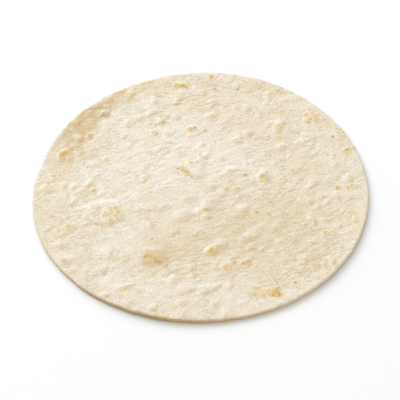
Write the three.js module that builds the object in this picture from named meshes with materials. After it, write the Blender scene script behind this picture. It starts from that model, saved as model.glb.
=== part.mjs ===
import * as THREE from "three";

// A soft flour tortilla, pressed round by machine and griddled, lying face up on a table.
// Millimetres, +Z up. The origin is under its middle, at the height of the table.

// The pressed sheet
const DIAMETER = 200;
const THICKNESS = 2.2;
const RIM_ROUND = 1.1; // the edge rounds over within this width

// Slight lobes of the outline: waves round the edge, swing in mm, first peak in degrees from +X
const OUTLINE_LOBES = [
  { waves: 2, swing: 1.15, peak: 44 },
  { waves: 3, swing: 0.7, peak: -34 },
];

// How the sheet lies: a low dome under the middle, and stretches of rim that curl off the table.
// A curl is centred towards a direction and reaches so many degrees either way. Its width grows by
// the widening for each degree round the rim.
const DOME = { x: 8, y: -4, spread: 42, rise: 2.2 };
const RIM_CURLS = [
  { towards: 143, reach: 40, width: 15, rise: 2.6, widening: 0.17 },
  { towards: -110, reach: 52, width: 20, rise: 1.4, widening: 0 },
  { towards: -28, reach: 64, width: 9, rise: 1, widening: 0 },
];
const CREASE = 1.15; // a curl turns up more sharply towards the rim as this grows
const SAG = 0.35; // its own weight presses this much of the lay flat on the table
const SAG_SOFTNESS = 0.4; // the sheet leaves the table gently, over about this height

// Blisters that steam raised on the griddle: middle, length, width, turn in degrees, rise
const BLISTERS = [
  { x: -27, y: -54.5, length: 22.5, width: 19, turn: 5, rise: 1.2 },
  { x: 6, y: -49, length: 13, width: 10.5, turn: 60, rise: 0.9 },
  { x: 15, y: -61, length: 12, width: 12.5, turn: 20, rise: 0.9 },
  { x: 26, y: -57.5, length: 8.5, width: 8, turn: 5, rise: 0.5 },
  { x: -5.5, y: -61.5, length: 7.5, width: 7, turn: 0, rise: 0.5 },
  { x: 37, y: 9, length: 10, width: 11, turn: 25, rise: 0.8 },
  { x: 21, y: 13, length: 20.5, width: 10.5, turn: 5, rise: 0.6 },
  { x: -57.5, y: -20.5, length: 28, width: 23.5, turn: 15, rise: 0.8 },
  { x: -84, y: 28.5, length: 9.5, width: 8, turn: 25, rise: 0.8 },
  { x: -61, y: 63, length: 8.5, width: 8.5, turn: 20, rise: 0.7 },
  { x: -75, y: 41, length: 7, width: 9, turn: 0, rise: 0.65 },
  { x: -68.5, y: 43.5, length: 6, width: 7, turn: 0, rise: 0.5 },
  { x: 47.5, y: 50, length: 8.5, width: 10.5, turn: 0, rise: 0.6 },
  { x: 68.5, y: 59.5, length: 12.5, width: 13, turn: -25, rise: 0.4 },
  { x: 88.5, y: 31, length: 8.5, width: 7, turn: 15, rise: 0.4 },
  { x: -5, y: 49, length: 9.5, width: 8, turn: 25, rise: 0.55 },
  { x: 6, y: 61, length: 12, width: 6.5, turn: 15, rise: 0.45 },
  { x: -25, y: 56, length: 7.5, width: 8, turn: 20, rise: 0.5 },
  { x: -29.5, y: 46.5, length: 6.5, width: 8, turn: 0, rise: 0.5 },
  { x: -42, y: 57, length: 24.5, width: 7, turn: 35, rise: 0.4 },
  { x: -13, y: 88.5, length: 12, width: 5.5, turn: -5, rise: 0.45 },
  { x: -10.5, y: 13.5, length: 13, width: 7.5, turn: -40, rise: 0.45 },
  { x: -11, y: -23, length: 14.5, width: 12, turn: 40, rise: 0.5 },
  { x: 28, y: -38.5, length: 19, width: 8.5, turn: 30, rise: 0.45 },
  { x: -78, y: -31.5, length: 8.5, width: 9.5, turn: -25, rise: 0.55 },
  { x: -82, y: 2, length: 6.5, width: 7, turn: 0, rise: 0.45 },
  { x: -64.5, y: -2, length: 5.5, width: 6.5, turn: 0, rise: 0.45 },
  { x: 37.5, y: -79, length: 21.5, width: 10.5, turn: 5, rise: 0.45 },
];

// Puckers of the cooked skin: the distance from one to the next, and how far each swings
const PUCKERS = [
  { across: 13, swing: 0.12 },
  { across: 7, swing: 0.07 },
];
const PUCKER_SEED = 7;
const MIX = { column: 127.1, row: 311.7, spread: 43758.5453 }; // scatters the puckers' heights
const RELIEF_FADE = 5; // blisters and puckers fade out over this distance from the rim

// Facets: each ring of points on a face has six more than the last, and the rim has a few rows
const RINGS = 29;
const SPOKES = 6;
const RIM_ROWS = 3;

const CREAM = 0xeadec6;

const radians = THREE.MathUtils.degToRad;
const { clamp, lerp, smoothstep } = THREE.MathUtils;

function outlineRadius(angle) {
  let radius = DIAMETER / 2;
  for (const lobe of OUTLINE_LOBES) {
    radius += lobe.swing * Math.cos(lobe.waves * (angle - radians(lobe.peak)));
  }
  return radius;
}

// Distance in from the rim, measured towards the middle
function insideRim(x, y) {
  return outlineRadius(Math.atan2(y, x)) - Math.hypot(x, y);
}

function domeRise(x, y) {
  const away = Math.hypot(x - DOME.x, y - DOME.y) / DOME.spread;
  return DOME.rise * Math.exp(-away * away / 2);
}

// Degrees round the rim from a direction to a point, from -180 to 180
function roundRim(x, y, start) {
  const turn = Math.atan2(y, x) - radians(start);
  return THREE.MathUtils.radToDeg(Math.atan2(Math.sin(turn), Math.cos(turn)));
}

// A curl is highest at the rim in the middle of its stretch, and eases out along the rim and inwards
function curlRise(curl, x, y) {
  const aside = roundRim(x, y, curl.towards);
  if (Math.abs(aside) >= curl.reach) {
    return 0;
  }
  const along = Math.cos((aside / curl.reach) * Math.PI / 2);
  const outwards = clamp(1 - insideRim(x, y) / (curl.width + curl.widening * aside), 0, 1);
  return curl.rise * along * along * outwards ** CREASE;
}

// Height of the underside above the table. It is exactly 0 where the sheet rests.
function lay(x, y) {
  let lift = domeRise(x, y) - SAG;
  for (const curl of RIM_CURLS) {
    lift += curlRise(curl, x, y);
  }
  return lift > 0 ? lift * lift / (lift + SAG_SOFTNESS) : 0;
}

// A blister is a low bump on an ellipse, level at its top and where it meets the skin round it
function blisterRise(blister, x, y) {
  const turn = radians(blister.turn);
  const east = x - blister.x;
  const north = y - blister.y;
  const along = (east * Math.cos(turn) + north * Math.sin(turn)) / (blister.length / 2);
  const across = (north * Math.cos(turn) - east * Math.sin(turn)) / (blister.width / 2);
  return blister.rise * smoothstep(1 - Math.hypot(along, across), 0, 1);
}

// Repeatable value from -1 to 1 at a corner of the grid that the puckers are drawn on
function cornerValue(column, row) {
  const mixed = Math.sin(column * MIX.column + row * MIX.row + PUCKER_SEED) * MIX.spread;
  return (mixed - Math.floor(mixed)) * 2 - 1;
}

function puckerRise(pucker, x, y) {
  const column = Math.floor(x / pucker.across);
  const row = Math.floor(y / pucker.across);
  const east = smoothstep(x / pucker.across - column, 0, 1);
  const north = smoothstep(y / pucker.across - row, 0, 1);
  const near = lerp(cornerValue(column, row), cornerValue(column + 1, row), east);
  const far = lerp(cornerValue(column, row + 1), cornerValue(column + 1, row + 1), east);
  return pucker.swing * lerp(near, far, north);
}

function topRelief(x, y) {
  let rise = 0;
  for (const blister of BLISTERS) {
    rise = Math.max(rise, blisterRise(blister, x, y));
  }
  for (const pucker of PUCKERS) {
    rise += puckerRise(pucker, x, y);
  }
  return rise * smoothstep(insideRim(x, y), RIM_ROUND, RIM_ROUND + RELIEF_FADE);
}

function topHeight(x, y) {
  return lay(x, y) + THICKNESS + topRelief(x, y);
}

// Plan points of one face, from its middle out to where the rim starts to round over
function facePlan() {
  const plan = [{ x: 0, y: 0 }];
  for (let ring = 1; ring <= RINGS; ring += 1) {
    for (let step = 0; step < SPOKES * ring; step += 1) {
      const angle = (2 * Math.PI * step) / (SPOKES * ring);
      const radius = (outlineRadius(angle) - RIM_ROUND) * ring / RINGS;
      plan.push({ x: radius * Math.cos(angle), y: radius * Math.sin(angle) });
    }
  }
  return plan;
}

function ringStart(ring) {
  return ring === 0 ? 0 : 1 + SPOKES * ring * (ring - 1) / 2;
}

// Triangles of one face, counter-clockwise seen from above, as point numbers within the plan
function faceTriangles() {
  const triangles = [];
  for (let ring = 1; ring <= RINGS; ring += 1) {
    const inner = (step) => ringStart(ring - 1) + step % Math.max(1, SPOKES * (ring - 1));
    const outer = (step) => ringStart(ring) + step % (SPOKES * ring);
    for (let spoke = 0; spoke < SPOKES; spoke += 1) {
      for (let step = 0; step < ring; step += 1) {
        const within = spoke * (ring - 1) + step;
        const without = spoke * ring + step;
        triangles.push([inner(within), outer(without), outer(without + 1)]);
        if (step < ring - 1) {
          triangles.push([inner(within), outer(without + 1), inner(within + 1)]);
        }
      }
    }
  }
  return triangles;
}

// One row of the rim's half-round nose, at a slope from +90 degrees on top to -90 underneath
function rimRow(slope) {
  const points = [];
  for (let step = 0; step < SPOKES * RINGS; step += 1) {
    const angle = (2 * Math.PI * step) / (SPOKES * RINGS);
    const start = outlineRadius(angle) - RIM_ROUND;
    const x = start * Math.cos(angle);
    const y = start * Math.sin(angle);
    const reach = start + RIM_ROUND * Math.cos(slope);
    const level = lerp(lay(x, y), topHeight(x, y), (1 + Math.sin(slope)) / 2);
    points.push(new THREE.Vector3(reach * Math.cos(angle), reach * Math.sin(angle), level));
  }
  return points;
}

function tortillaGeometry() {
  const plan = facePlan();
  const top = plan.map(({ x, y }) => new THREE.Vector3(x, y, topHeight(x, y)));
  const under = plan.map(({ x, y }) => new THREE.Vector3(x, y, lay(x, y)));
  const points = [...top, ...under];
  const index = [];
  for (const [a, b, c] of faceTriangles()) {
    index.push(a, b, c);
    index.push(top.length + a, top.length + c, top.length + b);
  }

  // The rim's rows join the outer ring of the top to the outer ring of the underside
  const rowStarts = [ringStart(RINGS)];
  for (let row = 1; row <= RIM_ROWS; row += 1) {
    rowStarts.push(points.length);
    points.push(...rimRow(Math.PI / 2 - (Math.PI * row) / (RIM_ROWS + 1)));
  }
  rowStarts.push(top.length + ringStart(RINGS));
  const around = SPOKES * RINGS;
  for (let row = 0; row <= RIM_ROWS; row += 1) {
    for (let step = 0; step < around; step += 1) {
      const next = (step + 1) % around;
      const upper = rowStarts[row];
      const lower = rowStarts[row + 1];
      index.push(upper + step, lower + step, lower + next);
      index.push(upper + step, lower + next, upper + next);
    }
  }

  const geometry = new THREE.BufferGeometry().setFromPoints(points);
  geometry.setIndex(index);
  geometry.computeVertexNormals();
  return geometry;
}

const dough = new THREE.MeshStandardMaterial({ color: CREAM, roughness: 0.85, metalness: 0 });

const tortilla = new THREE.Mesh(tortillaGeometry(), dough);
tortilla.name = "tortilla";

const group = new THREE.Group();
group.add(tortilla);

export default group;
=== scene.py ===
"""A soft flour tortilla lying face up on a pale studio floor.

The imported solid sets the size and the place. This script presses a finer sheet of the same form, raises its
blisters and puckers, toasts it and lights it. Sizes in the classes are millimetres and degrees, seen from
above with +X to the right and +Y away from the viewer, and meshes are in metres.
"""

import logging
import math
from dataclasses import dataclass
from enum import Enum

import bpy
import numpy as np
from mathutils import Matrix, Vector

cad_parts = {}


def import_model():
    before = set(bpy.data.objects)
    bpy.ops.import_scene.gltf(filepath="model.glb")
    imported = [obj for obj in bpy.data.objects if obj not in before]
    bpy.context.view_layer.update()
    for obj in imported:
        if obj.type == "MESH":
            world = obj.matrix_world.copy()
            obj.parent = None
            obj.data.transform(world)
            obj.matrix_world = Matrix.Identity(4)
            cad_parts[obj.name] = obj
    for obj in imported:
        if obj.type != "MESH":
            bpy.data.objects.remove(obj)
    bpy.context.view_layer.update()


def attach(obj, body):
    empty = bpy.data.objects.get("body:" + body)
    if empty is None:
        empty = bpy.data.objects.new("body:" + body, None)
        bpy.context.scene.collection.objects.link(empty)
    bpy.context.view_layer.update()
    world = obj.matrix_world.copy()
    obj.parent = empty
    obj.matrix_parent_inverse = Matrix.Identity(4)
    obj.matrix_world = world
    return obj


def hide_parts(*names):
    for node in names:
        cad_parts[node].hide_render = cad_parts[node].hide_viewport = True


LOG = logging.getLogger("tortilla")
MM = 0.001
FAN_CORNERS = 6
PLAIN_WARMTH = 0.4  # the dough's colour where it is neither pale nor tan, on a scale from 0 to 1

Colour = tuple[float, float, float]
Span = tuple[float, float]
Values = np.ndarray
Socket = bpy.types.NodeSocket
Inputs = dict[str | int, Socket | float | tuple[float, ...]]


class Toast(Enum):
    """How far the griddle browned a spot, from a hint of colour to deep orange."""

    HINT = 0.25
    STRAW = 0.47
    AMBER = 0.7
    ORANGE = 1.0


HINT, STRAW, AMBER, ORANGE = Toast


def ease(share: Values) -> Values:
    """Smooth step from 0 to 1, held at either end."""
    held = np.clip(share, 0.0, 1.0)
    return held * held * (3.0 - 2.0 * held)


def blend(near: Values, far: Values, share: Values) -> Values:
    """Straight blend from near at 0 to far at 1."""
    return near + (far - near) * share


@dataclass(frozen=True)
class SkinNoise:
    """Smooth repeatable noise over the sheet, with a spread of about 1.

    Attributes:
        seed: Chooses the pattern.
        across: Width of one cell of the pattern.
        stretch: How many times longer a cell is along the grain than across it.
        grain: Direction of the grain.
    """

    seed: int
    across: float
    stretch: float = 1.0
    grain: float = 0.0
    cells: int = 256
    spread: float = 0.25

    def at(self, x: Values, y: Values) -> Values:
        """Reads the noise at some points.

        Args:
            x, y: Points on the sheet.

        Returns:
            One value for each point.
        """
        turn = math.radians(self.grain)
        along = (x * math.cos(turn) + y * math.sin(turn)) / (self.across * self.stretch)
        aside = (y * math.cos(turn) - x * math.sin(turn)) / self.across
        column = np.floor(along).astype(int)
        row = np.floor(aside).astype(int)
        east, north = along - column, aside - row
        lean = np.random.default_rng(self.seed).uniform(0.0, 2.0 * math.pi, (self.cells, self.cells))

        def corner(right: int, up: int) -> Values:
            """Height that one corner of the cell leans to at each point."""
            angle = lean[(row + up) % self.cells, (column + right) % self.cells]
            return np.cos(angle) * (east - right) + np.sin(angle) * (north - up)

        low = blend(corner(0, 0), corner(1, 0), ease(east))
        high = blend(corner(0, 1), corner(1, 1), ease(east))
        return blend(low, high, ease(north)) / self.spread


@dataclass(frozen=True)
class Lobe:
    """A slight wave in the pressed outline."""

    waves: int
    swing: float
    peak: float


@dataclass(frozen=True)
class Dome:
    """The low swell under the middle of the sheet."""

    x: float
    y: float
    spread: float
    rise: float


@dataclass(frozen=True)
class Curl:
    """A stretch of rim that curls off the table. It widens a little for each degree round the rim."""

    towards: float
    reach: float
    width: float
    rise: float
    widening: float = 0.0


@dataclass(frozen=True)
class Sheet:
    """The pressed sheet of dough: its outline, and how it lies on the table under its own weight."""

    diameter: float = 200.0
    thickness: float = 2.2
    rim_round: float = 1.1
    lobes: tuple[Lobe, ...] = (Lobe(2, 1.15, 44.0), Lobe(3, 0.7, -34.0))
    wobble: float = 0.12
    nicks: SkinNoise = SkinNoise(5, 7.0)
    dome: Dome = Dome(8.0, -4.0, 42.0, 2.2)
    curls: tuple[Curl, ...] = (
        Curl(143.0, 40.0, 15.0, 2.6, 0.17),
        Curl(-110.0, 52.0, 20.0, 1.4),
        Curl(-28.0, 64.0, 9.0, 1.0),
    )
    narrowest_curl: float = 1.0
    crease: float = 1.15
    sag: float = 0.35
    sag_softness: float = 0.4

    def edge(self, angle: Values) -> Values:
        """Works out the outline.

        Args:
            angle: Directions from the middle, in radians.

        Returns:
            Radius of the outline in each direction.
        """
        radius = np.full_like(angle, self.diameter / 2.0)
        for lobe in self.lobes:
            radius += lobe.swing * np.cos(lobe.waves * (angle - math.radians(lobe.peak)))
        return radius + self.wobble * self.nicks.at(radius * np.cos(angle), radius * np.sin(angle))

    def inside(self, x: Values, y: Values) -> Values:
        """Distance of each point in from the rim."""
        return self.edge(np.arctan2(y, x)) - np.hypot(x, y)

    @staticmethod
    def round_rim(x: Values, y: Values, start: float) -> Values:
        """Degrees from a direction to each point, counted anticlockwise, from -180 to 180."""
        turn = np.arctan2(y, x) - math.radians(start)
        return np.degrees(np.arctan2(np.sin(turn), np.cos(turn)))

    @staticmethod
    def along_rim(x: Values, y: Values, towards: float, reach: float) -> Values:
        """How near each point is to the middle of a stretch of rim: 1 there, easing to 0 at the reach."""
        aside = np.abs(Sheet.round_rim(x, y, towards)) / reach
        return np.cos(np.clip(aside, 0.0, 1.0) * math.pi / 2.0) ** 2

    def lay(self, x: Values, y: Values) -> Values:
        """Works out how high the sheet stands off the table.

        Args:
            x, y: Points on the sheet.

        Returns:
            Height of the underside at each point, 0 where the sheet rests.
        """
        away = np.hypot(x - self.dome.x, y - self.dome.y) / self.dome.spread
        lift = self.dome.rise * np.exp(-away * away / 2.0) - self.sag
        for curl in self.curls:
            along = self.along_rim(x, y, curl.towards, curl.reach)
            width = curl.width + curl.widening * self.round_rim(x, y, curl.towards)
            share = self.inside(x, y) / np.maximum(width, self.narrowest_curl)
            lift += curl.rise * along * np.clip(1.0 - share, 0.0, 1.0) ** self.crease
        lift = np.maximum(lift, 0.0)
        return lift * lift / (lift + self.sag_softness)


@dataclass(frozen=True)
class Oval:
    """A place on the sheet: its middle, its length and width, and how far the length turns from +X."""

    x: float
    y: float
    length: float
    width: float
    turn: float = 0.0

    def away(self, x: Values, y: Values) -> Values:
        """Measures how far points are from the middle.

        Args:
            x, y: Points on the sheet.

        Returns:
            Distance of each point, as a share of the way to the oval's edge.
        """
        turn = math.radians(self.turn)
        east, north = x - self.x, y - self.y
        along = (east * math.cos(turn) + north * math.sin(turn)) / (self.length / 2.0)
        aside = (north * math.cos(turn) - east * math.sin(turn)) / (self.width / 2.0)
        return np.hypot(along, aside)


@dataclass(frozen=True)
class Blister(Oval):
    """A bump that steam raised in the skin, and how much of it is level on top."""

    rise: float = 0.25
    level: float = 0.0


@dataclass(frozen=True)
class Spot(Oval):
    """A mark that the griddle browned, how deeply its middle scorched, and how gently it fades out."""

    toast: Toast = STRAW
    scorch: float = 0.0
    soft: float = 0.5


@dataclass(frozen=True)
class Patch(Oval):
    """A broad place where the dough is warmer in colour, or paler where warmth is below 0."""

    warmth: float = 0.2


# Larger blisters of the top: x, y, length, width, turn, rise, level
BLISTER_ROWS = (
    # Along the back
    (-13, 88.5, 12, 5.5, -5, 0.45),
    (7.5, 85, 4, 4),
    (6, 96.5, 4, 4, 0, 0.2),
    (-14, 77.5, 8.5, 6.5, -20, 0.35),
    (-29.5, 86.5, 3.5, 3, 0, 0.2),
    (43.5, 81, 5, 5),
    (41, 72, 5.5, 5),
    (22.5, 86.5, 6, 6.5, 0, 0.3),
    # Back left
    (-84, 28.5, 9.5, 8, 25, 0.8),
    (-82.5, 25.5, 13, 11, 25, 0.5),
    (-76, 33.5, 8, 6.5, 15, 0.75),
    (-75, 41, 7, 9, 0, 0.95),
    (-68.5, 43.5, 6, 7, 0, 0.5),
    (-78, 53.5, 7.5, 6.5, -20, 0.55),
    (-59, 74, 10, 7, 30, 0.65),
    (-61, 63, 8.5, 8.5, 20, 1.0),
    (-42, 57, 24.5, 7, 35, 0.4),
    (-58, 23.5, 5.5, 6.5, 0, 0.35),
    # Behind the middle
    (-25, 56, 7.5, 8, 20, 0.5),
    (-29.5, 46.5, 6.5, 8, 0, 0.5),
    (-20.5, 45.5, 8, 8.5, 25, 0.4),
    (-31, 63.5, 13, 6, 40, 0.5),
    (-21, 61.5, 6, 6.5, 0, 0.35),
    (-5, 49, 9.5, 8, 25, 0.55),
    (6, 61, 12, 6.5, 15, 0.45),
    (22, 68.5, 5, 5.5, 0, 0.3),
    (28.5, 67, 5.5, 6.5, 0, 0.3),
    (23, 59.5, 5, 5.5),
    (5.5, 32, 5, 5.5, 0, 0.22),
    # Back right
    (68.5, 59.5, 12.5, 13, -25, 0.4),
    (47.5, 50, 8.5, 10.5, 0, 0.6),
    (47.5, 42, 9.5, 5, 0, 0.3),
    (88.5, 31, 8.5, 7, 15, 0.4),
    (81, 27, 4, 5),
    (54, 12.5, 11, 9, 0, 0.35),
    (48, 33.5, 9, 8, 10, 0.4),
    (59, 38, 6.5, 5.5, 20, 0.3),
    (67, 34.5, 7, 6, 25, 0.3),
    (74, 35.5, 7, 6, 0, 0.3),
    # Middle
    (-10.5, 13.5, 13, 7.5, -40, 0.45),
    (-6.5, 20, 5, 5.5),
    (21, 13, 20.5, 10.5, 5, 0.45),
    (37, 9, 10, 11, 25, 0.8),
    (6.5, 0, 5.5, 6.5, 0, 0.3),
    (14.5, -2, 6.5, 7, 0, 0.35),
    (21.5, -1.5, 6.5, 7, 0, 0.4),
    (3.5, -18.5, 6.5, 7, 20, 0.32),
    (-11, -23, 14.5, 12, 40, 0.3),
    (-4.5, -21.5, 9, 5.5, 0, 0.3),
    (11.5, -29.5, 12, 6.5, 5, 0.35),
    (28, -38.5, 19, 8.5, 30, 0.45),
    (45.5, -42.5, 6, 7, 0, 0.4),
    # Right
    (90, 1.5, 8.5, 5, -5),
    (82, 0.5, 4, 4, 0, 0.2),
    (67, -3.5, 5, 5.5),
    (64.5, -11, 5, 5.5),
    (80.5, -29, 6, 6.5, 0, 0.3),
    (90.5, -23.5, 5, 11),
    (72, -35, 5, 6.5),
    (81, -46.5, 5, 5.5),
    (65, -60.5, 6.5, 6.5, 0, 0.3),
    (70.5, -58.5, 5, 5.5),
    (67, 3, 12, 6, 50, 0.4),
    (70.5, -6.5, 7, 7, 0, 0.3),
    (69, -14, 7, 4, 55, 0.3),
    (75, -10.5, 7, 4, 55, 0.3),
    (58.5, -55, 9, 8.5, 25, 0.45),
    (63, -43, 7, 6.5, 0, 0.25),
    # Left
    (-82, 2, 6.5, 7, 0, 0.45),
    (-76, 1, 6.5, 7, 0, 0.4),
    (-64.5, -2, 5.5, 6.5, 0, 0.45),
    (-57, -19.5, 31, 22, 10, 0.55, 0.5),
    (-70, -18, 8.5, 9, 0, 0.35),
    (-61, -16, 8, 6, 40, 0.3),
    (-56.5, -21, 7.5, 9, 0, 0.35),
    (-51.5, -16, 11, 6.5, 10, 0.35),
    (-49, -19.5, 5.5, 10.5, 0, 0.3),
    (-52.5, -28, 6.5, 6.5, 0, 0.3),
    (-58, -30, 5.5, 5.5),
    (-78, -31.5, 8.5, 9.5, -25, 0.55),
    (-78, -55.5, 12, 11, 20, 0.6),
    (-89, -21.5, 4.5, 4),
    (-83, -23.5, 4, 4, 0, 0.2),
    (-72.5, -4, 14, 10, 20, 0.5),
    (-90.5, -33, 6.5, 5.5, 20, 0.3),
    (-82, -44.5, 10, 8.5, 20, 0.5),
    (-53.5, -51, 14, 13, 25, 0.5),
    (-75, -63.5, 10, 7.5, 25, 0.35),
    # Front
    (-28, -53, 22, 16, 0, 0.85),
    (6, -49, 12, 9, 60, 0.75),
    (15, -61, 12, 12.5, 20, 0.65),
    (26, -57.5, 8.5, 8, 5, 0.5),
    (-5.5, -61.5, 7.5, 7, 0, 0.5),
    (-3.5, -66, 7, 6.5, 0, 0.4),
    (37.5, -79, 20, 10.5, 5, 0.3),
    (-27, -91.5, 5.5, 5.5, 0, 0.3),
    (-11.5, -87, 7, 7, 0, 0.35),
    (7.5, -87, 6.5, 7, 0, 0.4),
    (-44.5, -75, 16, 6, 15, 0.45),
    (-55, -81, 8, 6, 15, 0.35),
    (-15, -62, 8, 8.5, 0, 0.4),
    (-16, -70.5, 10, 9.5, 20, 0.45),
    (-9.5, -77, 14, 9.5, 20, 0.45),
    (2, -77, 9, 8, 0, 0.4),
    (8.5, -59.5, 8, 8.5, 0, 0.4),
)
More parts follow.
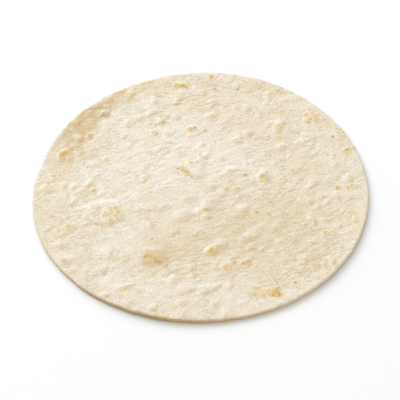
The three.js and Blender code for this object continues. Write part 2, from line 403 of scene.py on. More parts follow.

# Browned marks of the top: x, y, length, width, turn, toast, scorch, soft
SPOT_ROWS = (
    # Along the back
    (-15, 88.5, 6, 4, 0, AMBER),
    (-11.5, 88, 5.5, 3.5, -10, ORANGE),
    (-11.5, 88, 3.5, 2, -5, ORANGE, 0.5),
    (6, 96.5, 3, 3.5, 0, AMBER, 0.2),
    (8.5, 85, 3, 2, 0, AMBER, 0.3),
    (1, 89.5, 2.5, 2, 0, AMBER),
    (26.5, 92.5, 2.5, 2, 0, AMBER),
    (-29.5, 86.5, 2, 2),
    (-14, 78, 5, 2.5, -25),
    (43.5, 81, 3, 3),
    (41, 72, 3.5, 3, 0, HINT),
    (-36, 90.5, 2.5, 2),
    (-32.5, 91, 2.5, 2),
    (15.5, 86.5, 2.5, 2.5, 0, HINT),
    (30.5, 87.5, 3.5, 3, 0, HINT),
    (40.5, 86.5, 6, 5.5, 0, HINT, 0.0, 0.9),
    (24, 76.5, 1.5, 1.5, 0, HINT, 0.1),
    # Back left
    (-84, 28.5, 7, 4, 15, ORANGE, 0.12),
    (-80, 24, 5, 3, -40, HINT),
    (-68.5, 43.5, 3.5, 4, 0, ORANGE, 0.14),
    (-78, 53.5, 4.5, 4, -20),
    (-76.5, 53.5, 1.5, 2, 0, AMBER, 0.2),
    (-59.5, 73.5, 6, 4, 20),
    (-57, 75.5, 2, 2.5, 0, AMBER, 0.1),
    (-46.5, 80.5, 8.5, 3, 20, HINT),
    (-42, 85, 2, 1.5, 15, ORANGE),
    (-61.5, 61, 3.5, 3.5, 15, STRAW, 0.3),
    (-69, 66.5, 2.5, 5, 0, HINT),
    (-75.5, 42.5, 4, 5, 0, HINT),
    (-58, 23.5, 3, 3.5),
    (-43.5, 24.5, 2.5, 3, 0, HINT),
    (-89.5, 35, 2.5, 3, 0, HINT),
    (-45, 75, 3, 2.5, 0, HINT),
    (-28.5, 81, 3.5, 4, 0, HINT, 0.0, 0.9),
    (-88, 6.5, 10, 3, 25, HINT, 0.05, 0.9),
    (-91, 15.5, 6, 3, 25, HINT, 0.05, 0.9),
    (-81.5, 14, 3, 3, 0, HINT),
    # Behind the middle
    (6.5, 61, 3, 3, 0, AMBER),
    (10, 62.5, 2.5, 2, 0, AMBER),
    (3.5, 58.5, 4.5, 3, 20, HINT),
    (-6.5, 48.5, 4, 4, 25, AMBER, 0.22),
    (-4, 50, 3, 2, 10, ORANGE, 0.42),
    (-8.5, 46, 3, 3, 0, HINT),
    (-25, 55.5, 4, 4, 0, HINT),
    (-29.5, 46.5, 3, 4),
    (-29.5, 64.5, 2, 3),
    (-20.5, 44.5, 5, 4, 0, HINT),
    (13, 22.5, 2.5, 2.5, 0, AMBER, 0.1),
    (22, 68, 2.5, 3, 0, HINT),
    (28.5, 67, 3.5, 5.5, 0, HINT),
    (23, 59.5, 3.5, 4, 0, HINT),
    (-10, 46, 2, 4, 0, HINT),
    (32, 56, 2.5, 3, 0, HINT),
    (5.5, 32, 3.5, 4, 0, HINT),
    # Back right, with a web of marks round one low blister
    (68.5, 59.5, 7.5, 9, 0, HINT),
    (65.5, 61.5, 2.5, 3.5, 0, AMBER),
    (69.5, 64, 3.5, 2.5, 15, AMBER),
    (72, 61, 2, 3, 0, AMBER),
    (69, 59, 2, 2.5),
    (72, 57, 2.5, 4, 0, AMBER),
    (66.5, 54.5, 2, 2.5, 0, AMBER, 0.1),
    (47.5, 50, 4.5, 6),
    (42, 43, 2, 2, 0, AMBER),
    (47.5, 42, 5.5, 3, -5),
    (57.5, 46, 1.5, 2, 0, HINT),
    (81, 43, 2, 2.5, -50, AMBER, 0.5),
    (85, 46, 2, 2.5, 0, STRAW, 0.1),
    (89, 39.5, 2, 2.5, 0, HINT),
    (88.5, 31, 6, 4.5, 20),
    (89, 32, 3.5, 2, 15, ORANGE, 0.3),
    (81, 27, 2.5, 3.5),
    (56, 14, 4, 2.5),
    (53, 15.5, 3, 2.5, 0, HINT),
    (47.5, 31.5, 8.5, 2.5, 0, HINT, 0.0, 0.9),
    # Middle
    (-14, 15, 2, 2.5, 0, ORANGE, 0.95),
    (-11.5, 14.5, 6, 4, -25, AMBER),
    (-8.5, 11.5, 5, 3, -50, AMBER),
    (-6.5, 9, 4, 2.5, -50),
    (-6.5, 20, 2.5, 3),
    (-33, 8.5, 5.5, 2.5, 25, HINT),
    (6.5, 0, 3, 3.5),
    (15, -1.5, 3.5, 4, 0, STRAW, 0.15),
    (21.5, -1.5, 3.5, 4),
    (22, -1, 1.5, 2, 0, AMBER, 0.2),
    (27, 9.5, 3.5, 2.5, 15, AMBER, 0.2),
    (21, 13.5, 9.5, 3, 0, HINT, 0.15),
    (37, 9, 3.5, 5.5, 15, AMBER),
    (36, 7.5, 2, 2.5, 0, ORANGE),
    (3.5, -18.5, 4, 3, -30, AMBER, 0.25),
    (-4.5, -21, 3, 3, 0, HINT),
    (24.5, -23, 3, 2.5, 0, AMBER),
    (33, -20, 2.5, 2, 0, AMBER, 0.6),
    (40, -21.5, 4.5, 2, -55, AMBER, 0.25),
    (51.5, -17.5, 2, 2.5, 0, HINT),
    (12.5, -29.5, 4, 3),
    (7, -28.5, 3, 2.5, 0, HINT),
    (45.5, -42.5, 3.5, 3.5, 0, HINT),
    # Right
    (82, 0.5, 3.5, 3, 0, AMBER, 0.3),
    (87.5, 1, 3, 3, 65, AMBER),
    (90, 2.5, 3.5, 2, 5, AMBER),
    (93, 2, 3, 2, -45),
    (67, -3.5, 2.5, 3),
    (67.5, -4, 1, 1.5, 0, AMBER, 0.5),
    (64.5, -11, 3, 2.5, 0, STRAW, 0.1),
    (95.5, 6.5, 1.5, 2, 0, STRAW, 0.1),
    (89.5, -20, 2.5, 4.5),
    (90.5, -26.5, 3, 5),
    (72, -35, 2.5, 4.5, 0, AMBER),
    (81, -46.5, 3, 3, 0, STRAW, 0.1),
    (53, -72, 2, 2, 0, AMBER, 0.1),
    (66.5, -69, 2, 2, 0, AMBER, 0.25),
    (65, -60.5, 3, 3),
    (70.5, -58.5, 2.5, 2.5, 0, AMBER),
    (68, -56, 2.5, 2.5, 0, HINT, 0.1),
    (94.5, -22, 2, 2.5, 0, HINT),
    (57, -48.5, 7, 2.5, 0, HINT, 0.0, 0.9),
    # Left
    (-82, 2, 3.5, 3.5, 0, HINT),
    (-76, 1, 2.5, 3.5),
    (-64.5, -2, 2.5, 3, 0, ORANGE),
    (-70, -18, 4, 5, 0, HINT),
    (-71, -23.5, 2, 2.5, 0, STRAW, 0.1),
    (-61, -15.5, 3.5, 3.5, 40),
    (-50.5, -19.5, 9, 12, 0, HINT, 0.0, 0.9),
    (-56.5, -21, 4, 5.5),
    (-56.5, -21.5, 2.5, 3),
    (-53.5, -16, 5.5, 2, 0, STRAW, 0.1),
    (-50.5, -15.5, 1.5, 2, 0, STRAW, 0.4),
    (-48, -14.5, 3, 3.5),
    (-49, -17, 4, 3),
    (-49, -19, 1.5, 2, 0, STRAW, 0.25),
    (-48.5, -20, 3, 6.5, 0, HINT),
    (-50.5, -21.5, 3.5, 3.5),
    (-49.5, -24.5, 3.5, 2.5, 0, HINT, 0.2),
    (-52.5, -28, 3.5, 3.5),
    (-52, -29.5, 3.5, 2.5, 0, HINT),
    (-58, -29.5, 2.5, 3.5),
    (-78.5, -30.5, 4, 4, -25),
    (-77, -32.5, 3, 3, -40, STRAW, 0.15),
    (-78.5, -56, 3.5, 3.5, 0, STRAW, 0.35),
    (-89, -21.5, 3.5, 3, 0, HINT, 0.1),
    (-83, -23.5, 2.5, 2.5, 0, HINT, 0.1),
    (-68.5, -10.5, 7.5, 2.5, 25, HINT, 0.05, 0.9),
    (-90.5, -41.5, 2, 2.5, 0, STRAW, 0.15),
    (-84.5, -49, 3, 2.5, 0, HINT),
    (-49.5, -55, 8.5, 4.5, 25, HINT, 0.0, 1.2),
    (-60.5, -24.5, 2.5, 3, 0, HINT),
    (-31.5, -24, 2.5, 2.5, 0, AMBER),
    (-28.5, -30, 2, 2, 0, AMBER, 0.1),
    (-28.5, -40.5, 1.5, 2, 0, AMBER, 0.45),
    # Front, where the largest blister is browned unevenly
    (-26.5, -54.5, 16, 10, -5, HINT, 0.14, 1.6),
    (-31.5, -49, 3, 2.5, 0, STRAW, 0.15),
    (-29.5, -50, 3, 2.5),
    (-30, -53.5, 9.5, 5, -8, AMBER, 0.42, 1.0),
    (-27.5, -54.5, 7.5, 5.5, 0, AMBER, 0.33, 1.2),
    (-25, -57, 5, 3.5, -20, AMBER, 0.4, 0.9),
    (-26, -57.5, 2, 1.5, 0, ORANGE, 0.1),
    (-21.5, -54.5, 6, 7.5, 0, STRAW, 0.33, 1.3),
    (-16.5, -47, 4, 3.5, 0, HINT, 0.1, 1.0),
    (-12.5, -54.5, 5, 4, 0, HINT, 0.1, 1.0),
    (-20.5, -66.5, 4, 3, 0, HINT),
    (-21.5, -72.5, 4, 3, 0, HINT),
    (5.5, -49.5, 4, 4.5, 65, ORANGE, 0.08),
    (7, -47.5, 3, 4.5),
    (14.5, -61, 6, 6.5, -15),
    (14.5, -61.5, 4, 4, 0, AMBER),
    (25.5, -58, 5.5, 3.5, 0, AMBER),
    (24.5, -57.5, 1.5, 2, 0, AMBER, 0.4),
    (27.5, -57, 1.5, 2, 0, AMBER, 0.35),
    (-5, -62, 3, 3),
    (-4, -65.5, 3.5, 2.5, -15, STRAW, 0.15),
    (37, -79.5, 16, 7, 0, HINT),
    (42.5, -78.5, 3.5, 3, 0, ORANGE),
    (40.5, -80, 3, 3.5, 0, ORANGE),
    (44, -80, 2.5, 3, 0, ORANGE),
    (40, -81.5, 4.5, 2, 0, ORANGE),
    (42.5, -76.5, 4, 2.5, 0, AMBER),
    (45, -80.5, 3.5, 3, 0, STRAW, 0.1),
    (37.5, -78, 5, 2, 0, AMBER),
    (35.5, -81.5, 6, 2.5),
    (38.5, -80.5, 3.5, 2.5, 0, AMBER),
    (30, -79.5, 3, 3, 0, AMBER),
    (32, -77.5, 3.5, 3.5),
    (31.5, -81.5, 3, 2),
    (34, -81.5, 3, 2),
    (-44, -77, 6, 3, 20),
    (-45, -83.5, 2.5, 2.5),
    (-64, -74.5, 3, 3, 0, HINT),
    (-27, -91.5, 3, 3, 0, AMBER, 0.1),
    (-15.5, -91.5, 2.5, 2.5, 0, HINT),
    (-11.5, -87, 3.5, 3.5, 0, HINT),
    (7.5, -87, 3.5, 4),
    (23, -93, 2, 2, 0, HINT),
)


@dataclass(frozen=True)
class Scatter:
    """Small blisters that nobody would place one by one. Widths and rises are shares of the length."""

    count: int
    seed: int
    reach: float = 96.0
    shortest: float = 3.0
    longest: float = 10.0
    narrowest: float = 0.6
    steepness: float = 0.055

    def blisters(self) -> tuple[Blister, ...]:
        """Scatters them.

        Returns:
            The blisters, most of them short.
        """
        draw = np.random.default_rng(self.seed)
        made = []
        for _ in range(self.count):
            angle = draw.uniform(0.0, 2.0 * math.pi)
            radius = self.reach * math.sqrt(draw.uniform())
            length = self.shortest + (self.longest - self.shortest) * draw.uniform() ** 2
            blister = Blister(
                x=radius * math.cos(angle),
                y=radius * math.sin(angle),
                length=length,
                width=length * draw.uniform(self.narrowest, 1.0),
                turn=draw.uniform(0.0, 180.0),
                rise=self.steepness * length,
            )
            made.append(blister)
        return tuple(made)


@dataclass(frozen=True)
class Griddle:
    """A griddle that browns the caps of blisters that touch it. Sizes of marks are shares of a blister."""

    seed: int
    smallest: float = 0.4
    largest: float = 0.75
    outcomes: tuple[Toast | None, ...] = (None, HINT, STRAW, STRAW, AMBER)

    def marks(self, blisters: tuple[Blister, ...]) -> tuple[Spot, ...]:
        """Browns some of the caps.

        Args:
            blisters: The blisters to choose from.

        Returns:
            One mark on the cap of each blister that touched the griddle.
        """
        draw = np.random.default_rng(self.seed)
        made = []
        for blister in blisters:
            toast = self.outcomes[draw.integers(len(self.outcomes))]
            share = draw.uniform(self.smallest, self.largest)
            if toast:
                length, width = blister.length * share, blister.width * share
                made.append(Spot(blister.x, blister.y, length, width, blister.turn, toast))
        return tuple(made)


@dataclass(frozen=True)
class Pucker:
    """One size of unevenness in the cooked skin: the noise that shapes it and how far it swings."""

    noise: SkinNoise
    swing: float


@dataclass(frozen=True)
class Wrinkles(Oval):
    """A place where the skin is drawn into fine wrinkles that run one way."""

    noise: SkinNoise = SkinNoise(31, 1.7, 4.0)
    swing: float = 0.04


@dataclass(frozen=True)
class Skin:
    """The cooked skin of one face, with noise that draws its ovals out of round and frays its marks."""

    blisters: tuple[Blister, ...]
    spots: tuple[Spot, ...]
    puckers: tuple[Pucker, ...]
    uneven: SkinNoise
    frayed: SkinNoise
    wrinkles: tuple[Wrinkles, ...] = ()
    lopsided: float = 0.16
    rounder_from: float = 9.0
    dome_power: float = 1.5
    fray: float = 0.12
    outer_fade: float = 0.25

    def out_of_round(self, oval: Oval, uneven: Values) -> Values:
        """Stretch of an oval in each place. Large ovals are rounder than small ones."""
        return 1.0 + self.lopsided * uneven * min(1.0, self.rounder_from / oval.length)

    def blister_rise(self, x: Values, y: Values) -> Values:
        """Raises the blisters.

        Args:
            x, y: Points on the sheet.

        Returns:
            Height of the blisters at each point.
        """
        uneven = self.uneven.at(x, y)
        rise = np.zeros_like(x)
        for blister in self.blisters:
            away = blister.away(x, y) * self.out_of_round(blister, uneven)
            foot = np.clip((1.0 - away**2) / (1.0 - blister.level), 0.0, 1.0)
            rise = np.hypot(rise, blister.rise * foot**self.dome_power)
        return rise

    def pucker_rise(self, x: Values, y: Values) -> Values:
        """Puckers and wrinkles the skin.

        Args:
            x, y: Points on the sheet.

        Returns:
            Height of the puckers and wrinkles at each point.
        """
        rise = sum(pucker.swing * pucker.noise.at(x, y) for pucker in self.puckers)
        for place in self.wrinkles:
            rise = rise + place.swing * place.noise.at(x, y) * np.exp(-place.away(x, y) ** 2)
        return rise

    def rise(self, x: Values, y: Values) -> Values:
        """Height of all the relief at each point."""
        return self.blister_rise(x, y) + self.pucker_rise(x, y)

    def facing(self, x: Values, y: Values, towards: float, step: float) -> Values:
        """How steeply the relief faces a direction at each point, measured over a step either way."""
        east, north = step * math.cos(math.radians(towards)), step * math.sin(math.radians(towards))
        return (self.rise(x - east, y - north) - self.rise(x + east, y + north)) / (2.0 * step)

    def browning(self, x: Values, y: Values) -> tuple[Values, Values]:
        """Works out how far each point is browned.

        Args:
            x, y: Points on the sheet.

        Returns:
            Toast and scorch from 0 to 1, each deepest in the middle of a mark.
        """
        uneven = self.uneven.at(x, y)
        frayed = self.fray * self.frayed.at(x, y)
        toast, scorch = np.zeros_like(x), np.zeros_like(x)
        for spot in self.spots:
            away = spot.away(x, y) * self.out_of_round(spot, uneven)
            inside = 1.0 + self.outer_fade * spot.soft - away - frayed
            depth = np.clip(inside / spot.soft, 0.0, 1.0)
            toast = np.maximum(toast, spot.toast.value * depth)
            scorch = np.maximum(scorch, spot.scorch * depth)
        return toast, scorch


UNDER_BLISTERS = Scatter(count=160, seed=8).blisters()
TOP_SKIN = Skin(
    blisters=tuple(Blister(*row) for row in BLISTER_ROWS) + Scatter(count=130, seed=4).blisters(),
    spots=tuple(Spot(*row) for row in SPOT_ROWS),
    puckers=(
        Pucker(SkinNoise(11, 8.5, 1.4, 30.0), 0.058),
        Pucker(SkinNoise(12, 4.6, 1.8, 20.0), 0.029),
        Pucker(SkinNoise(13, 2.0, 1.8, 20.0), 0.012),
    ),
    uneven=SkinNoise(21, 4.0),
    frayed=SkinNoise(23, 1.7),
    wrinkles=(
        Wrinkles(-18, 20, 80, 55, 20, SkinNoise(31, 1.7, 4.0, 20.0), 0.062),
        Wrinkles(0, 78, 130, 36, 0, SkinNoise(32, 1.6, 4.0, 4.0), 0.06),
        Wrinkles(52, 10, 60, 60, 0, SkinNoise(33, 1.8, 3.0, 30.0), 0.038),
        Wrinkles(-62, -20, 50, 60, 0, SkinNoise(34, 1.8, 3.0, 36.0), 0.052),
        Wrinkles(0, -60, 140, 40, 0, SkinNoise(35, 1.8, 3.0, 14.0), 0.052),
        Wrinkles(-70, 42, 46, 40, 0, SkinNoise(36, 1.8, 2.6, 38.0), 0.048),
        Wrinkles(58, -40, 60, 60, 0, SkinNoise(37, 1.8, 3.0, 18.0), 0.05),
        Wrinkles(50, 62, 60, 40, 0, SkinNoise(38, 1.8, 3.5, 2.0), 0.05),
        Wrinkles(30, 10, 50, 40, 0, SkinNoise(39, 1.8, 4.0, 5.0), 0.058),
    ),
)
UNDER_SKIN = Skin(
    blisters=UNDER_BLISTERS,
    spots=Griddle(seed=9).marks(UNDER_BLISTERS),
    puckers=(
        Pucker(SkinNoise(41, 9.0), 0.1),
        Pucker(SkinNoise(42, 4.6), 0.08),
        Pucker(SkinNoise(43, 2.6), 0.03),
    ),
    uneven=SkinNoise(51, 4.0),
    frayed=SkinNoise(53, 1.7),
)


@dataclass(frozen=True)
class Grain:
    """One size of patch in the dough: its width, how many finer sizes are mixed in, and its stretch."""

    across: float
    detail: float
    stretch: float = 1.0


@dataclass(frozen=True)
class Mixer:
    """The nodes of one material, and the steps that it is mixed in.

    Patches stretch in the direction of turn, and most of a noise's values lie in the usual span.
    """

    tree: bpy.types.NodeTree
    turn: float
    usual: Span = (0.3, 0.7)

    def fill(self, node: bpy.types.Node, inputs: Inputs) -> None:
        """Gives a node its inputs.

        Args:
            node: The node.
            inputs: A plain value for each socket, or the socket of another node to link it to.
        """
        for name, value in inputs.items():
            if isinstance(value, Socket):
                self.tree.links.new(value, node.inputs[name])
            else:
                node.inputs[name].default_value = value

    def add(self, kind: str, output: str | int, inputs: Inputs, **settings: str) -> Socket:
        """Adds a node.

        Args:
            kind: Its type, without the word that all of them start with.
            output: Which of its outputs to use.
            inputs: What goes into its sockets.
            settings: What else to set on it, before its sockets are looked up.

        Returns:
            The output.
        """
        node = self.tree.nodes.new("ShaderNode" + kind)
        for name, value in settings.items():
            setattr(node, name, value)
        self.fill(node, inputs)
        return node.outputs[output]

    def noise(self, grain: Grain) -> Socket:
        """Makes patches through the dough.

        Args:
            grain: Their size.

        Returns:
            Values about 0.5.
        """
        place = self.add("TexCoord", "Object", {})
        turn = (0.0, 0.0, math.radians(self.turn))
        mapping = {"Vector": place, "Rotation": turn, "Scale": (grain.stretch, 1.0, 1.0)}
        place = self.add("Mapping", "Vector", mapping, vector_type="TEXTURE")
        noise = {"Vector": place, "Scale": 1.0 / (grain.across * MM), "Detail": grain.detail}
        return self.add("TexNoise", "Fac", noise)

    def carried(self, name: str) -> Socket:
        """A value that the sheet's mesh carries."""
        return self.add("Attribute", "Fac", {}, attribute_name=name)

    def join(self, how: str, *values: Socket | float) -> Socket:
        """Joins values in one of the Math node's ways."""
        return self.add("Math", 0, dict(enumerate(values)), operation=how)

    def span(self, value: Socket, to: Span, start: Span | None = None) -> Socket:
        """Spreads a value from a span, by default a noise's usual one, to another that it doesn't leave."""
        ends = zip(("From Min", "From Max", "To Min", "To Max"), (*(start or self.usual), *to))
        return self.add("MapRange", "Result", {"Value": value, **dict(ends)})

    def ramp(self, value: Socket, stops: tuple[tuple[float, Colour], ...]) -> Socket:
        """Turns a value into a colour.

        Args:
            value: What to read.
            stops: Places from 0 to 1, each with its colour.

        Returns:
            The colour.
        """
        shade = self.add("ValToRGB", "Color", {"Fac": value})
        elements = shade.node.color_ramp.elements
        elements.remove(elements[1])
        elements[0].position = stops[0][0]
        elements[0].color = (*stops[0][1], 1.0)
        for place, colour in stops[1:]:
            elements.new(place).color = (*colour, 1.0)
        return shade

    def lay(self, under: Socket, share: Socket, colour: Colour | Socket, how: str = "MIX") -> Socket:
        """Lays a share of a colour over another, in one of the Mix node's ways."""
        inputs = {"Factor": share, "A": under, "B": (*colour, 1.0) if isinstance(colour, tuple) else colour}
        return self.add("Mix", "Result", inputs, data_type="RGBA", blend_type=how)


@dataclass(frozen=True)
class GriddledDough:
    """Matt cream wheat dough, mottled, grained and toasted in spots. Colours are linear."""

    name: str = "griddled_dough"
    # Plain dough, from pale to warm, and the golden wall of the rim: browning, with painted shade and a
    # painted glow of light through the rim on the front side
    pale: Colour = (0.743, 0.716, 0.654)
    cream: Colour = (0.695, 0.642, 0.533)
    tan: Colour = (0.626, 0.502, 0.314)
    edge_gold_and_shade: Colour = (0.51, 0.356, 0.167)
    # Toasted dough, and how much toast brings each colour
    straw: Colour = (0.7, 0.59, 0.368)
    amber: Colour = (0.678, 0.52, 0.278)
    orange: Colour = (0.645, 0.412, 0.16)
    char: Colour = (0.36, 0.215, 0.08)
    straw_at: float = 0.3
    amber_at: float = 0.6
    orange_at: float = 0.9
    browned: Span = (0.02, 0.4)
    browned_most: float = 0.95
    # Grain, and how far it varies the dough
    grain: float = 22.0
    flour: Grain = Grain(0.62, 1.0)
    crumb: Grain = Grain(1.7, 3.0, 1.7)
    mottle: Grain = Grain(5.5, 3.0, 1.4)
    crumb_warmth: float = 0.15
    mottle_warmth: float = 0.3
    crumb_uneven: Span = (0.7, 1.3)
    flour_uneven: Span = (0.75, 1.25)
    # Fine dark specks: partly the grain of the dough, partly painted shade in its pores
    pit_grain_and_shade: Colour = (0.755, 0.735, 0.685)
    pitted: Span = (0.35, 0.7)
    bump_depth: float = 0.4
    crumb_depth: float = 0.55
    # Thin creases, which come and go; they cut into the bump, and their colour is darkened as painted shade
    creases: Grain = Grain(3.2, 1.5, 2.6)
    crease_breaks: Grain = Grain(6.0, 1.0)
    unbroken: Span = (0.48, 0.6)
    crease_width: float = 0.07
    crease_depth: float = 0.46
    crease_shade: Colour = (0.88, 0.86, 0.806)
    # Sheen, and the light that enters the dough
    roughness: Span = (0.7, 0.86)
    specular: float = 0.25
    see_into: float = 0.03
    see_into_depth: float = 1.2
    see_into_tint: Colour = (1.0, 0.7, 0.45)

    def material(self) -> bpy.types.Material:
        """Mixes the dough.

        Returns:
            The material, which reads the sheet's "toast", "scorch", "warmth" and "edge" attributes.
        """
        material = bpy.data.materials.new(self.name)
        material.use_nodes = True
        mixer = Mixer(material.node_tree, self.grain)
        flour, crumb = mixer.noise(self.flour), mixer.noise(self.crumb)
        creases = self._creases(mixer)
        colour = self._toasted(mixer, self._plain(mixer, crumb), crumb, flour)
        # Golden wall on the front side: browning, with painted shade and a painted glow of light through the
        # rim
        colour = mixer.lay(colour, mixer.carried("edge"), self.edge_gold_and_shade)
        # Fine dark specks: grain, with painted shade in the pores
        colour = mixer.lay(colour, mixer.span(flour, (0.0, 1.0), self.pitted), self.pit_grain_and_shade, "MULTIPLY")
        inputs = {
            # Painted shade along the creases
            "Base Color": mixer.lay(colour, creases, self.crease_shade, "MULTIPLY"),
            "Roughness": mixer.span(crumb, self.roughness),
            "Normal": self._bump(mixer, flour, crumb, creases),
            "Specular IOR Level": self.specular,
            "Subsurface Weight": self.see_into,
            "Subsurface Radius": self.see_into_tint,
            "Subsurface Scale": self.see_into_depth * MM,
        }
        mixer.fill(material.node_tree.nodes["Principled BSDF"], inputs)
        return material

    def _creases(self, mixer: Mixer) -> Socket:
        """Draws thin broken lines where the skin is drawn together, along the middle values of a noise.

        Args:
            mixer: The material's nodes.

        Returns:
            1 along a line and 0 beside it.
        """
        middle = sum(mixer.usual) / 2.0
        away = mixer.join("ABSOLUTE", mixer.join("SUBTRACT", mixer.noise(self.creases), middle))
        lines = mixer.span(away, (1.0, 0.0), (0.0, self.crease_width))
        shown = mixer.span(mixer.noise(self.crease_breaks), (0.0, 1.0), self.unbroken)
        return mixer.join("MULTIPLY", lines, shown)

    def _plain(self, mixer: Mixer, crumb: Socket) -> Socket:
        """Colours the untoasted dough.

        Args:
            mixer: The material's nodes.
            crumb: Noise that varies it finely.

        Returns:
            The colour, from pale through cream to tan.
        """
        warmth, mottle = mixer.carried("warmth"), mixer.noise(self.mottle)
        for noise, swing in ((crumb, self.crumb_warmth), (mottle, self.mottle_warmth)):
            warmth = mixer.join("ADD", warmth, mixer.span(noise, (-swing / 2.0, swing / 2.0)))
        return mixer.ramp(warmth, ((0.0, self.pale), (PLAIN_WARMTH, self.cream), (1.0, self.tan)))

    def _toasted(self, mixer: Mixer, colour: Socket, crumb: Socket, flour: Socket) -> Socket:
        """Browns a colour where the griddle touched it, unevenly.

        Args:
            mixer: The material's nodes.
            colour: The untoasted dough.
            crumb: Noise that breaks the browning up.
            flour: Finer noise that frays it.

        Returns:
            The browned colour.
        """
        broken, frayed = mixer.span(crumb, self.crumb_uneven), mixer.span(flour, self.flour_uneven)
        uneven = mixer.join("MULTIPLY", broken, frayed)
        toast = mixer.join("MULTIPLY", mixer.carried("toast"), uneven)
        scorch = mixer.join("MULTIPLY", mixer.carried("scorch"), uneven)
        stops = ((self.straw_at, self.straw), (self.amber_at, self.amber), (self.orange_at, self.orange))
        cover = mixer.span(toast, (0.0, self.browned_most), self.browned)
        browned = mixer.lay(colour, cover, mixer.ramp(toast, stops))
        return mixer.lay(browned, scorch, self.char)

    def _bump(self, mixer: Mixer, flour: Socket, crumb: Socket, creases: Socket) -> Socket:
        """Roughens the skin where that is too fine for the mesh.

        Args:
            mixer: The material's nodes.
            flour: The finest noise.
            crumb: Noise a little coarser.
            creases: Thin lines that cut into the skin.

        Returns:
            The normal.
        """
        cut = mixer.span(creases, (0.0, -self.crease_depth), (0.0, 1.0))
        grain = mixer.join("ADD", flour, mixer.span(crumb, (0.0, self.crumb_depth), (0.0, 1.0)))
        height = mixer.join("ADD", grain, cut)
        inputs = {"Strength": 1.0, "Distance": self.bump_depth * MM, "Height": height}
        return mixer.add("Bump", "Normal", inputs)


@dataclass(frozen=True)
class RimBand:
    """A stretch along the rim that is warmer in colour, or paler where warmth is below 0.

    It lies between two distances in from the rim, and widens a little for each degree round it.
    """

    towards: float
    reach: float
    start: float
    end: float
    warmth: float
    softness: float
    widening: float = 0.0

    def cover(self, x: Values, y: Values, inside: Values) -> Values:
        """Works out where the stretch lies.

        Args:
            x, y: Points on the sheet.
            inside: Distance of each point in from the rim.

        Returns:
            1 at each point within the stretch, fading to 0 outside it.
        """
        end = self.end + self.widening * Sheet.round_rim(x, y, self.towards)
        inner = ease((end - inside) / self.softness + 0.5)
        outer = ease((inside - self.start) / self.softness + 0.5)
        return inner * outer * Sheet.along_rim(x, y, self.towards, self.reach)


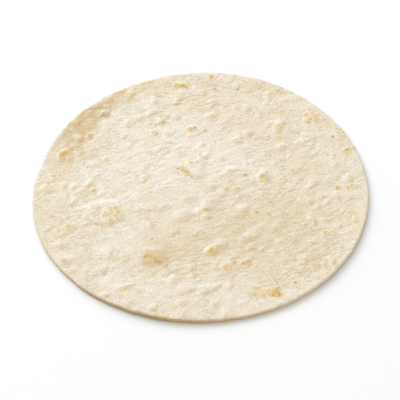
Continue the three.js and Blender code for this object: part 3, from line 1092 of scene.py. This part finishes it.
@dataclass(frozen=True)
class Tortilla:
    """The whole tortilla, pressed from a six-sided fan so that its triangles stay even out to the rim."""

    sheet: Sheet = Sheet()
    top: Skin = TOP_SKIN
    under: Skin = UNDER_SKIN
    finish: GriddledDough = GriddledDough()
    first_cuts: int = 4
    second_cuts: int = 24
    rim_rows: int = 5
    relief_fade: float = 3.0
    rim_relief: float = 0.35
    under_depth: float = 0.25
    # Broad tone. The paler places behind the middle on the left and along the front lie where the dome and
    # the front rim face the light, and the warmer, darker places at the front right lie where the dome faces
    # away from it: partly the dough's uneven tone, partly painted light and shade
    patches: tuple[Patch, ...] = (
        Patch(-14, 24, 75, 50, 40, -0.3),
        Patch(-58, -45, 50, 40, 0, -0.15),
        Patch(-22, -78, 70, 16, 0, -0.15),
        Patch(41, -37, 90, 56, 25, 0.2),
        Patch(66, -50, 50, 44, 35, 0.11),
        Patch(-22, -48, 46, 26, 10, 0.25),
        Patch(-27, -53, 17, 12, 0, 0.36),
        Patch(-60, 0, 50, 60, 0, -0.12),
        Patch(64, -12, 40, 30, 0, -0.08),
        Patch(16, 56, 30, 24, 0, 0.1),
        Patch(20, -75, 30, 16, 0, -0.12),
        Patch(70, 20, 26, 30, 0, 0.07),
    )
    rim_bands: tuple[RimBand, ...] = (
        # The back-left curl, in the first two bands: tan dough, with painted shade on its inner slope, which
        # faces away from the light
        RimBand(132.0, 48.0, 1.4, 13.0, 0.42, 2.0, 0.17),
        RimBand(165.0, 25.0, 8.0, 18.8, 0.2, 1.2, 0.1),
        RimBand(120.0, 42.0, 14.0, 28.0, -0.18, 3.0, 0.17),
        # Paler along the front-right rim, where its lip faces the light: painted highlight
        RimBand(-55.0, 95.0, -8.0, 10.0, -0.16, 7.0),
        # Warmer at the front rim, next to the golden wall: painted shade and a painted glow of light through
        # the rim
        RimBand(-98.0, 34.0, -4.0, 2.5, 0.22, 2.0),
        # More of the back-left curl's tan and painted shade, near the rim
        RimBand(135.0, 25.0, 1.4, 6.0, 0.2, 1.4),
        RimBand(192.0, 22.0, 3.0, 17.0, 0.1, 5.0),
        # Paler at the very edge of the back-left rim, where it faces the light: painted highlight
        RimBand(140.0, 75.0, -3.0, 1.6, -0.3, 0.8),
    )
    cloudy: SkinNoise = SkinNoise(61, 30.0)
    cloudy_swing: float = 0.06
    ragged: SkinNoise = SkinNoise(62, 6.0)
    ragged_swing: float = 0.8
    # Slopes of the relief that face the light from this direction are painted paler, and slopes that face
    # away are painted warmer and darker: painted light and shade
    painted_light_from: float = 142.0
    painted_light_lean: float = 1.6
    painted_light_step: float = 0.5
    # The golden front wall of the rim faces away from the light: browning, with painted shade and a painted
    # glow of light passing through the thin rim
    edge_browned_and_shaded: float = -108.0
    edge_reach: float = 80.0
    edge_top: float = 1.0
    edge_fade: float = 0.35
    edge_width: float = 6.0
    shoulder: float = 0.38
    wall_foot: float = 0.3

    def build(self) -> bpy.types.Object:
        """Makes the tortilla and dresses it.

        Returns:
            The finished piece, riding on the part's body in place of its plain solid.
        """
        piece = self._press()
        self._row_the_rim(piece)
        self._shape(piece)
        piece.data.materials.append(self.finish.material())
        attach(piece, "root")
        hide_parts("tortilla")
        return piece

    def _press(self) -> bpy.types.Object:
        """Presses the slab.

        Returns:
            A six-sided slab of small triangles, 1 high and with corners at distance 1.
        """
        bpy.ops.object.select_all(action="DESELECT")
        bpy.ops.mesh.primitive_circle_add(vertices=FAN_CORNERS, radius=1.0, fill_type="TRIFAN")
        piece = bpy.context.object
        piece.name = piece.data.name = "griddled_tortilla"
        bpy.ops.object.mode_set(mode="EDIT")
        bpy.ops.mesh.select_all(action="SELECT")
        bpy.ops.mesh.subdivide(number_cuts=self.first_cuts)
        bpy.ops.mesh.subdivide(number_cuts=self.second_cuts)
        bpy.ops.mesh.extrude_region_move(TRANSFORM_OT_translate={"value": (0.0, 0.0, 1.0)})
        bpy.ops.mesh.select_all(action="SELECT")
        bpy.ops.mesh.normals_make_consistent(inside=False)
        bpy.ops.mesh.select_all(action="DESELECT")
        bpy.ops.object.mode_set(mode="OBJECT")
        return piece

    def _row_the_rim(self, piece: bpy.types.Object) -> None:
        """Cuts the slab's wall into rows, to round it by.

        Args:
            piece: The slab.
        """
        mesh = piece.data
        height = self._points(mesh)[:, 2]
        ends = np.empty(len(mesh.edges) * 2, dtype=int)
        mesh.edges.foreach_get("vertices", ends)
        upright = height[ends[0::2]] != height[ends[1::2]]
        bpy.context.tool_settings.mesh_select_mode = (False, True, False)
        mesh.edges.foreach_set("select", upright)
        bpy.ops.object.mode_set(mode="EDIT")
        bpy.ops.mesh.subdivide(number_cuts=self.rim_rows)
        bpy.ops.mesh.select_all(action="DESELECT")
        bpy.ops.object.mode_set(mode="OBJECT")

    @staticmethod
    def _points(mesh: bpy.types.Mesh) -> Values:
        """Reads a mesh's vertices.

        Args:
            mesh: The mesh.

        Returns:
            Rows of x, y and z.
        """
        flat = np.empty(len(mesh.vertices) * 3)
        mesh.vertices.foreach_get("co", flat)
        return flat.reshape(-1, 3)

    @staticmethod
    def _ring_and_angle(x: Values, y: Values) -> tuple[Values, Values]:
        """Turns the fan's rings round.

        Args:
            x, y: Points on a fan with corners at distance 1.

        Returns:
            Each point's ring, from 0 in the middle to 1 at the edge, and its direction when the points of
            a ring are spread evenly round it.
        """
        corner = 2.0 * math.pi / FAN_CORNERS
        angle = np.arctan2(y, x)
        side = np.round(angle / corner)
        lean = angle - side * corner
        flat = math.cos(corner / 2.0)
        ring = np.hypot(x, y) * np.cos(lean) / flat
        return ring, (side + flat * np.tan(lean)) * corner

    def _shape(self, piece: bpy.types.Object) -> None:
        """Gives the slab the sheet's outline, lay, relief and browning.

        Args:
            piece: The slab, from 0 to 1 in height.
        """
        sheet, mesh = self.sheet, piece.data
        points = self._points(mesh)
        ring, angle = self._ring_and_angle(points[:, 0], points[:, 1])
        slope = (points[:, 2] - 0.5) * math.pi
        plan = ring * (sheet.edge(angle) - sheet.rim_round)
        x, y = plan * np.cos(angle), plan * np.sin(angle)
        lay = sheet.lay(x, y)
        calm = ease((sheet.inside(x, y) - sheet.rim_round) / self.relief_fade)
        top = lay + sheet.thickness + self.top.rise(x, y) * blend(self.rim_relief, 1.0, calm)
        hollow = self.under_depth + self.under.pucker_rise(x, y) - self.under.blister_rise(x, y)
        under = lay + np.maximum(hollow, 0.0) * calm
        nose = np.cos(slope) ** np.where(slope < 0.0, self.wall_foot, self.shoulder)
        reach = plan + sheet.rim_round * nose
        level = blend(under, top, (1.0 + np.sin(slope)) / 2.0)
        shaped = np.stack((reach * np.cos(angle), reach * np.sin(angle), level), axis=1) * MM
        mesh.vertices.foreach_set("co", shaped.ravel())
        self._colour(mesh, x, y, points[:, 2])
        mesh.update()
        bpy.ops.object.select_all(action="DESELECT")
        piece.select_set(True)
        bpy.context.view_layer.objects.active = piece
        bpy.ops.object.shade_smooth()

    def _colour(self, mesh: bpy.types.Mesh, x: Values, y: Values, level: Values) -> None:
        """Marks the mesh with the browning, the warmth of the dough with its painted light and shade, and the
        golden front wall with its painted shade, for the finish to read.

        Args:
            mesh: The sheet's mesh.
            x, y: Points on the sheet.
            level: Place between the underside at 0 and the top at 1.
        """
        upper = level > 0.5
        # Golden wall on the front side, away from the light: browning, with painted shade and a painted glow
        wall = ease((self.edge_top - level) / self.edge_fade)
        wall = wall * ease(1.0 - self.sheet.inside(x, y) / self.edge_width)
        self._carry(mesh, "edge", wall * self.sheet.along_rim(x, y, self.edge_browned_and_shaded, self.edge_reach))
        top_marks, under_marks = self.top.browning(x, y), self.under.browning(x, y)
        for name, top, under in zip(("toast", "scorch"), top_marks, under_marks):
            self._carry(mesh, name, np.where(upper, top, under))
        self._carry(mesh, "warmth", self._warmth(x, y))

    def _warmth(self, x: Values, y: Values) -> Values:
        """Works out where the dough is pale and where it is a warmer tan, with painted light and shade on the
        slopes of the relief.

        Args:
            x, y: Points on the sheet.

        Returns:
            0 for palest, PLAIN_WARMTH for plain and 1 for tan at each point.
        """
        warmth = PLAIN_WARMTH + self.cloudy_swing * self.cloudy.at(x, y)
        for patch in self.patches:
            warmth += patch.warmth * np.exp(-patch.away(x, y) ** 2)
        # Painted light and shade: paler where the relief faces the light, warmer and darker where it faces
        # away
        warmth -= self.painted_light_lean * self.top.facing(x, y, self.painted_light_from, self.painted_light_step)
        inside = self.sheet.inside(x, y) + self.ragged_swing * self.ragged.at(x, y)
        for band in self.rim_bands:
            warmth += band.warmth * band.cover(x, y, inside)
        return np.clip(warmth, 0.0, 1.0)

    @staticmethod
    def _carry(mesh: bpy.types.Mesh, name: str, values: Values) -> None:
        """Stores one value for each vertex on the mesh."""
        attribute = mesh.attributes.new(name, "FLOAT", "POINT")
        attribute.data.foreach_set("value", values.astype(np.float32))


@dataclass(frozen=True)
class Lamp:
    """A round soft lamp that faces the tortilla. Metres, degrees and watts."""

    name: str
    azimuth: float
    elevation: float
    distance: float
    size: float
    watts: float
    tint: Colour = (1.0, 1.0, 1.0)

    def hang(self) -> None:
        """Hangs the lamp."""
        turn, tilt = math.radians(self.azimuth), math.radians(self.elevation)
        flat = math.cos(tilt)
        towards = Vector((flat * math.cos(turn), flat * math.sin(turn), math.sin(tilt)))
        bpy.ops.object.light_add(type="AREA", location=towards * self.distance)
        lamp = bpy.context.object
        lamp.name = self.name
        lamp.data.shape = "DISK"
        lamp.data.size = self.size
        lamp.data.energy = self.watts
        lamp.data.color = self.tint
        lamp.rotation_mode = "QUATERNION"
        lamp.rotation_quaternion = (-towards).to_track_quat("-Z", "Y")


DAYLIGHT = (0.99, 1.0, 1.025)
CREAM_CARD = (1.0, 0.87, 0.7)
TAN_CARD = (1.0, 0.78, 0.5)


@dataclass(frozen=True)
class Studio:
    """Pale floor, soft light from behind on the left, and the camera. Metres and degrees."""

    floor_size: float = 6.0
    floor_tone: Colour = (0.726, 0.745, 0.775)
    lamps: tuple[Lamp, ...] = (
        Lamp("key_light", 138.0, 33.0, 3.5, 2.2, 82.0, DAYLIGHT),
        Lamp("back_light", 90.0, 30.0, 3.5, 2.2, 60.0, DAYLIGHT),
        Lamp("rake_light", 135.0, 12.0, 3.5, 2.0, 34.0, DAYLIGHT),
        Lamp("top_light", 142.0, 88.0, 2.0, 2.0, 10.0),
        Lamp("right_card", -25.0, 16.0, 2.0, 2.0, 8.0, CREAM_CARD),
        Lamp("front_card", -95.0, 6.0, 2.0, 2.0, 25.0, TAN_CARD),
    )
    fill: float = 0.45
    fill_tint: Colour = (1.0, 0.957, 0.892)
    view_elevation: float = 48.35
    view_distance: float = 0.9
    frame_width: float = 0.2379
    aim: tuple[float, float, float] = (-0.0008, -0.00845, 0.0012)

    def build(self) -> None:
        """Sets up the floor, the light and the camera."""
        self._floor()
        for lamp in self.lamps:
            lamp.hang()
        self._surroundings()
        self._camera()
        bpy.context.scene.view_settings.view_transform = "Standard"

    def _floor(self) -> None:
        """Lays a plain matt floor."""
        bpy.ops.object.select_all(action="DESELECT")
        bpy.ops.mesh.primitive_plane_add(size=self.floor_size)
        floor = bpy.context.object
        floor.name = "studio_floor"
        material = bpy.data.materials.new("studio_floor")
        material.use_nodes = True
        shader = material.node_tree.nodes["Principled BSDF"]
        shader.inputs["Base Color"].default_value = (*self.floor_tone, 1.0)
        shader.inputs["Roughness"].default_value = 1.0
        shader.inputs["Specular IOR Level"].default_value = 0.0
        floor.data.materials.append(material)

    def _surroundings(self) -> None:
        """Fills the room with even light."""
        world = bpy.data.worlds.new("studio_white")
        world.use_nodes = True
        background = world.node_tree.nodes["Background"]
        background.inputs["Color"].default_value = (*self.fill_tint, 1.0)
        background.inputs["Strength"].default_value = self.fill
        bpy.context.scene.world = world

    def _camera(self) -> None:
        """Looks down at the tortilla from the front."""
        elevation = math.radians(self.view_elevation)
        back = Vector((0.0, -math.cos(elevation), math.sin(elevation)))
        bpy.ops.object.camera_add(location=Vector(self.aim) + back * self.view_distance)
        camera = bpy.context.object
        camera.rotation_mode = "QUATERNION"
        camera.rotation_quaternion = (-back).to_track_quat("-Z", "Y")
        camera.data.lens = camera.data.sensor_width * self.view_distance / self.frame_width
        bpy.context.scene.camera = camera


def main() -> None:
    """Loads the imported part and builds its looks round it."""
    logging.basicConfig(level=logging.INFO, format="%(name)s: %(message)s")
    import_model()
    piece = Tortilla().build()
    LOG.info("%s has %d vertices", piece.name, len(piece.data.vertices))
    Studio().build()
    LOG.info("studio is lit")


if __name__ == "__main__":
    main()
